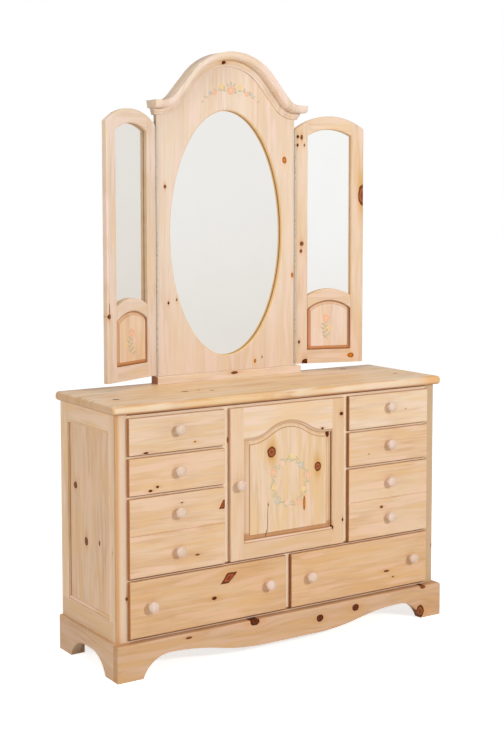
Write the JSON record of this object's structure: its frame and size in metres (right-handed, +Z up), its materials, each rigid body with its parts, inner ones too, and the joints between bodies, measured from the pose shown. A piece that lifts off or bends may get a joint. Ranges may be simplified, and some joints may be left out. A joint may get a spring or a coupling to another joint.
{
  "type": "dresser with triptych mirror",
  "caption": "Pine dresser with drawers, a central panelled door and a shaped plinth, under an arched three-part mirror whose side wings fold on upright hinges.",
  "frame": {"origin": "on the floor, in the middle of the whole object's box", "axes": "+Z up, -Y out of the drawer fronts towards the viewer, +X to the viewer's right along the width"},
  "size_m": [1.372, 0.4664, 2.0852],
  "materials": {
    "top_pine": "pale whitewashed pine with knots, satin wax finish, warm orange grain",
    "side_pine": "pale whitewashed pine with knots, satin wax finish",
    "front_pine": "pale whitewashed pine with knots, satin wax finish",
    "frame_pine": "pale whitewashed pine with knots, satin wax finish",
    "door_pine": "pale whitewashed pine with knots, satin wax finish",
    "panel_pine": "pale whitewashed pine with knots, satin wax finish, orange tone in the bevels",
    "plinth_pine": "pale whitewashed pine with knots, satin wax finish",
    "mirror_pine": "pale whitewashed pine with knots, satin wax finish, a little pinker",
    "wing_pine": "pale whitewashed pine with knots, satin wax finish, a little pinker",
    "knob_pine": "turned pine, pale greyish pink, satin",
    "raw_pine": "plain planed pine, unfinished",
    "hardboard": "brown hardboard",
    "mirror_silver": "silvered glass",
    "hinge_nickel": "bright nickel-plated steel"
  },
  "bodies": {
    "cabinet": {"back_panel": "hardboard", "crown_bed": "mirror_pine", "crown_cap": "mirror_pine", "decks": "raw_pine", "door_hinge_fixed": "hinge_nickel", "drawer_runners": "raw_pine", "dresser_top": "top_pine", "face_frame": "frame_pine", "mirror_backer": "hardboard", "mirror_base": "mirror_pine", "mirror_board": "mirror_pine", "mirror_glass": "mirror_silver", "mirror_hinges": "hinge_nickel", "mirror_supports": "raw_pine", "partitions": "raw_pine", "plinth_back": "raw_pine", "plinth_blocks": "raw_pine", "plinth_front": "plinth_pine", "plinth_sides": "plinth_pine", "side_frame_left": "side_pine", "side_frame_right": "side_pine", "side_panels": "side_pine"},
    "door": {"door_frame": "door_pine", "door_hinge_moving": "hinge_nickel", "door_knob": "knob_pine", "door_panel": "panel_pine"},
    "drawer_bottom_left": {"drawer_bottom_left_box": "raw_pine", "drawer_bottom_left_front": "front_pine", "drawer_bottom_left_knob": "knob_pine"},
    "drawer_bottom_right": {"drawer_bottom_right_box": "raw_pine", "drawer_bottom_right_front": "front_pine", "drawer_bottom_right_knob": "knob_pine"},
    "drawer_left_deep": {"drawer_left_deep_box": "raw_pine", "drawer_left_deep_front": "front_pine", "drawer_left_deep_knob": "knob_pine"},
    "drawer_left_second": {"drawer_left_second_box": "raw_pine", "drawer_left_second_front": "front_pine", "drawer_left_second_knob": "knob_pine"},
    "drawer_left_top": {"drawer_left_top_box": "raw_pine", "drawer_left_top_front": "front_pine", "drawer_left_top_knob": "knob_pine"},
    "drawer_right_deep": {"drawer_right_deep_box": "raw_pine", "drawer_right_deep_front": "front_pine", "drawer_right_deep_knob": "knob_pine"},
    "drawer_right_second": {"drawer_right_second_box": "raw_pine", "drawer_right_second_front": "front_pine", "drawer_right_second_knob": "knob_pine"},
    "drawer_right_top": {"drawer_right_top_box": "raw_pine", "drawer_right_top_front": "front_pine", "drawer_right_top_knob": "knob_pine"},
    "wing_left": {"wing_left_backer": "hardboard", "wing_left_frame": "wing_pine", "wing_left_glass": "mirror_silver", "wing_left_hinge": "hinge_nickel", "wing_left_panel": "wing_pine"},
    "wing_right": {"wing_right_backer": "hardboard", "wing_right_frame": "wing_pine", "wing_right_glass": "mirror_silver", "wing_right_hinge": "hinge_nickel", "wing_right_panel": "wing_pine"}
  },
  "joints": [
    {"name": "drawer_bottom_left_slide", "type": "slide", "parent": "cabinet", "child": "drawer_bottom_left", "axis": [0, -1, 0], "range_m": [0, 0.3]},
    {"name": "drawer_bottom_right_slide", "type": "slide", "parent": "cabinet", "child": "drawer_bottom_right", "axis": [0, -1, 0], "range_m": [0, 0.3]},
    {"name": "drawer_left_deep_slide", "type": "slide", "parent": "cabinet", "child": "drawer_left_deep", "axis": [0, -1, 0], "range_m": [0, 0.3]},
    {"name": "drawer_left_second_slide", "type": "slide", "parent": "cabinet", "child": "drawer_left_second", "axis": [0, -1, 0], "range_m": [0, 0.3]},
    {"name": "drawer_left_top_slide", "type": "slide", "parent": "cabinet", "child": "drawer_left_top", "axis": [0, -1, 0], "range_m": [0, 0.3]},
    {"name": "drawer_right_deep_slide", "type": "slide", "parent": "cabinet", "child": "drawer_right_deep", "axis": [0, -1, 0], "range_m": [0, 0.3]},
    {"name": "drawer_right_second_slide", "type": "slide", "parent": "cabinet", "child": "drawer_right_second", "axis": [0, -1, 0], "range_m": [0, 0.3]},
    {"name": "drawer_right_top_slide", "type": "slide", "parent": "cabinet", "child": "drawer_right_top", "axis": [0, -1, 0], "range_m": [0, 0.3]},
    {"name": "door_hinge", "type": "hinge", "parent": "cabinet", "child": "door", "pos_m": [0.2419, -0.188, 0.46], "axis": [0, 0, 1], "range_deg": [0, 90]},
    {"name": "wing_left_hinge", "type": "hinge", "parent": "cabinet", "child": "wing_left", "pos_m": [-0.2983, 0.1896, 1.37], "axis": [0, 0, 1], "range_deg": [-24.4, 155.6]},
    {"name": "wing_right_hinge", "type": "hinge", "parent": "cabinet", "child": "wing_right", "pos_m": [0.2983, 0.1896, 1.37], "axis": [0, 0, -1], "range_deg": [-16.5, 163.5]}
  ]
}
